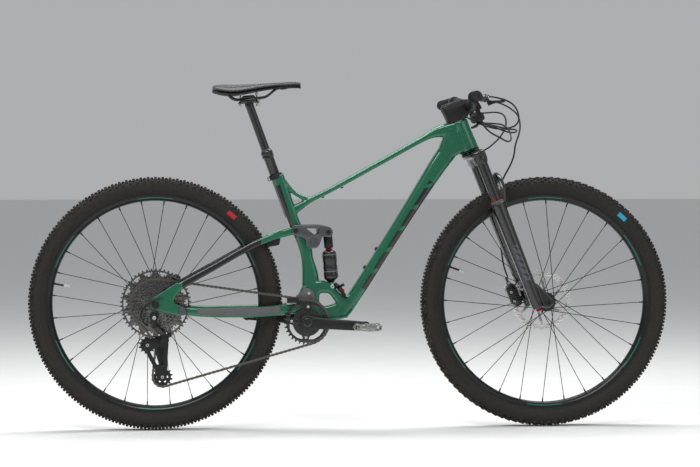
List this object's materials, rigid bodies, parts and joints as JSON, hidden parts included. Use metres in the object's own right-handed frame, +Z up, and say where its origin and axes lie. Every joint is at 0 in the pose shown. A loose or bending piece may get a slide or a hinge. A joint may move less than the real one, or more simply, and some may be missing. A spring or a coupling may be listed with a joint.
{
  "type": "mountain bike",
  "caption": "Full-suspension cross-country mountain bike with telescopic fork, linkage-driven rear shock, dropper post, disc brakes and wide-range drivetrain.",
  "frame": {"origin": "on the ground under the middle of the bike: midway between the two wheel axles, in the wheels' middle plane", "axes": "+X forward, +Z up, +Y to the rider's left, so the drivetrain is on the -Y side"},
  "size_m": [1.888, 0.7422, 1.018],
  "materials": {
    "emerald_paint": "gloss paint over carbon fibre",
    "gloss_black": "gloss black",
    "satin_black": "satin black",
    "tyre_rubber": "dusty matt rubber",
    "grip_rubber": "matt rubber",
    "steel": "ground",
    "chain_steel": "nickel-grey",
    "gunmetal": "anodised satin",
    "grey_alloy": "anodised dark grey",
    "saddle_cover": "fine-grained synthetic leather",
    "red_anodised": "anodised red"
  },
  "bodies": {
    "frame": {"front_triangle": "emerald_paint", "rocker_axle": "steel", "main_pivot_axle": "steel", "shock_foot_bolt": "steel", "bottom_bracket": "satin_black", "dropper_outer": "satin_black", "chain": "chain_steel"},
    "saddle_post": {"dropper_stanchion": "gloss_black", "saddle_rails": "satin_black", "saddle_shell": "satin_black", "saddle_cushion": "saddle_cover"},
    "steerer": {"fork_crown": "gloss_black", "stem": "satin_black", "handlebar": "satin_black", "grip_left": "grip_rubber", "grip_right": "grip_rubber", "brake_master_left": "gloss_black", "brake_master_right": "gloss_black", "shifter_case": "satin_black", "remote_case": "satin_black", "front_brake_hose": "satin_black", "lockout_cable": "satin_black", "rear_brake_hose": "satin_black", "shift_housing": "satin_black", "remote_cable": "satin_black"},
    "brake_lever_left": {"brake_lever_left": "satin_black"},
    "brake_lever_right": {"brake_lever_right": "satin_black"},
    "shifter_paddle": {"shifter_paddle": "satin_black"},
    "remote_lever": {"remote_lever": "satin_black"},
    "fork_lower": {"fork_lowers": "gloss_black", "front_axle": "satin_black", "front_caliper": "gloss_black"},
    "rebound_knob": {"rebound_knob": "red_anodised"},
    "front_wheel": {"front_tyre": "tyre_rubber", "front_rim": "gloss_black", "front_hub": "satin_black", "front_rotor": "steel"},
    "chainstay": {"chainstay": "emerald_paint"},
    "seatstay": {"seatstay": "emerald_paint", "rear_axle": "satin_black", "derailleur_hanger": "satin_black", "derailleur_housing": "satin_black"},
    "rear_wheel": {"rear_tyre": "tyre_rubber", "rear_rim": "gloss_black", "rear_hub": "satin_black", "rear_rotor": "steel"},
    "cassette": {"cassette": "chain_steel"},
    "rocker": {"rocker": "gunmetal"},
    "shock_can": {"shock_can": "gloss_black"},
    "shock_shaft": {"shock_shaft": "grey_alloy"},
    "crank": {"crank_right": "grey_alloy", "chainring": "gloss_black", "crank_left": "grey_alloy"},
    "pedal_right": {"pedal_right": "steel"},
    "pedal_left": {"pedal_left": "steel"},
    "derailleur_link": {"derailleur_link": "satin_black"},
    "derailleur_knuckle": {"derailleur_knuckle": "satin_black"},
    "derailleur_cage": {"derailleur_cage": "satin_black"},
    "guide_pulley": {"guide_pulley": "satin_black"},
    "tension_pulley": {"tension_pulley": "satin_black"}
  },
  "joints": [
    {"name": "steering", "type": "hinge", "parent": "frame", "child": "steerer", "pos_m": [0.53306, 0, 0.35387], "axis": [-0.3665, 0, 0.9304], "range_deg": [-60, 60]},
    {"name": "dropper_slide", "type": "slide", "parent": "frame", "child": "saddle_post", "axis": [0.342, 0, -0.9397], "range_m": [0, 0.125], "stiffness_N_per_m": 200, "springref_m": -0.5},
    {"name": "brake_lever_left_pull", "type": "hinge", "parent": "steerer", "child": "brake_lever_left", "pos_m": [0.37761, 0.208, 0.95041], "axis": [-0.3665, 0, 0.9304], "range_deg": [0, 12], "stiffness_Nm_per_rad": 1, "springref_deg": -11.46},
    {"name": "brake_lever_right_pull", "type": "hinge", "parent": "steerer", "child": "brake_lever_right", "pos_m": [0.37761, -0.208, 0.95041], "axis": [0.3665, 0, -0.9304], "range_deg": [0, 12], "stiffness_Nm_per_rad": 1, "springref_deg": -11.46},
    {"name": "shifter_push", "type": "hinge", "parent": "steerer", "child": "shifter_paddle", "pos_m": [0.35559, -0.172, 0.89445], "axis": [-0.3665, 0, 0.9304], "range_deg": [0, 30], "stiffness_Nm_per_rad": 0.5, "springref_deg": -17.19},
    {"name": "remote_push", "type": "hinge", "parent": "steerer", "child": "remote_lever", "pos_m": [0.36149, 0.174, 0.92041], "axis": [0.3665, 0, -0.9304], "range_deg": [0, 25], "stiffness_Nm_per_rad": 0.5, "springref_deg": -17.19},
    {"name": "fork_travel", "type": "slide", "parent": "steerer", "child": "fork_lower", "axis": [-0.3665, 0, 0.9304], "range_m": [0, 0.1], "stiffness_N_per_m": 6000, "springref_m": -0.02, "deforming": ["front_brake_hose"]},
    {"name": "rebound_turn", "type": "hinge", "parent": "fork_lower", "child": "rebound_knob", "pos_m": [0.54623, -0.068, 0.35046], "axis": [-0.3665, 0, 0.9304], "range_deg": [-170, 170]},
    {"name": "front_wheel_spin", "type": "hinge", "parent": "fork_lower", "child": "front_wheel", "pos_m": [0.574, 0, 0.37], "axis": [0, 1, 0], "continuous": true},
    {"name": "rear_suspension", "type": "hinge", "parent": "frame", "child": "chainstay", "pos_m": [-0.14, 0, 0.357], "axis": [0, 1, 0], "range_deg": [0, 14], "stiffness_Nm_per_rad": 1500, "springref_deg": -2.86, "deforming": ["chain"]},
    {"name": "stay_pivot", "type": "hinge", "parent": "chainstay", "child": "seatstay", "pos_m": [-0.497, 0, 0.352], "axis": [0, 1, 0], "range_deg": [-5, 0.5]},
    {"name": "rocker_pivot", "type": "hinge", "parent": "frame", "child": "rocker", "pos_m": [-0.114, 0, 0.548], "axis": [0, 1, 0], "range_deg": [-1, 48]},
    {"name": "shock_tilt", "type": "hinge", "parent": "frame", "child": "shock_can", "pos_m": [-0.058, 0, 0.418], "axis": [0, 1, 0], "range_deg": [-1, 4]},
    {"name": "shock_stroke", "type": "slide", "parent": "shock_can", "child": "shock_shaft", "axis": [-0.081, 0, 0.9967], "range_m": [-0.042, 0.001]},
    {"name": "rear_wheel_spin", "type": "hinge", "parent": "seatstay", "child": "rear_wheel", "pos_m": [-0.574, 0, 0.37], "axis": [0, 1, 0], "continuous": true},
    {"name": "crank_spin", "type": "hinge", "parent": "frame", "child": "crank", "pos_m": [-0.135, 0, 0.316], "axis": [0, 1, 0], "continuous": true},
    {"name": "cassette_spin", "type": "hinge", "parent": "seatstay", "child": "cassette", "pos_m": [-0.574, 0, 0.37], "axis": [0, 1, 0], "continuous": true},
    {"name": "pedal_right_spin", "type": "hinge", "parent": "crank", "child": "pedal_right", "pos_m": [0.03459, 0, 0.30414], "axis": [0, 1, 0], "continuous": true},
    {"name": "pedal_left_spin", "type": "hinge", "parent": "crank", "child": "pedal_left", "pos_m": [-0.30459, 0, 0.32786], "axis": [0, 1, 0], "continuous": true},
    {"name": "derailleur_shift", "type": "hinge", "parent": "seatstay", "child": "derailleur_link", "pos_m": [-0.576, -0.086, 0.309], "axis": [0.3816, 0.3981, 0.8342], "range_deg": [-35, 12], "deforming": ["derailleur_housing"]},
    {"name": "derailleur_parallel", "type": "hinge", "parent": "derailleur_link", "child": "derailleur_knuckle", "pos_m": [-0.553, -0.062, 0.287], "axis": [0.3816, 0.3981, 0.8342], "range_deg": [-12, 35]},
    {"name": "cage_swing", "type": "hinge", "parent": "derailleur_knuckle", "child": "derailleur_cage", "pos_m": [-0.549, 0, 0.266], "axis": [0, -1, 0], "range_deg": [0, 35], "stiffness_Nm_per_rad": 0.3, "springref_deg": -45.84},
    {"name": "guide_pulley_spin", "type": "hinge", "parent": "derailleur_cage", "child": "guide_pulley", "pos_m": [-0.598, 0, 0.251], "axis": [0, 1, 0], "continuous": true},
    {"name": "tension_pulley_spin", "type": "hinge", "parent": "derailleur_cage", "child": "tension_pulley", "pos_m": [-0.555, 0, 0.158], "axis": [0, 1, 0], "continuous": true}
  ],
  "couplings": [
    {"joint": "stay_pivot", "follows": "rear_suspension", "ratio": -0.3263},
    {"joint": "rocker_pivot", "follows": "rear_suspension", "ratio": 3.328},
    {"joint": "shock_tilt", "follows": "rear_suspension", "ratio": 0.2284},
    {"joint": "shock_stroke", "follows": "rear_suspension", "m_per_rad": -0.16659},
    {"joint": "cassette_spin", "follows": "crank_spin", "ratio": 0.88889},
    {"joint": "guide_pulley_spin", "follows": "crank_spin", "ratio": -2.6667},
    {"joint": "tension_pulley_spin", "follows": "crank_spin", "ratio": 2.2857},
    {"joint": "derailleur_parallel", "follows": "derailleur_shift", "ratio": -1}
  ]
}
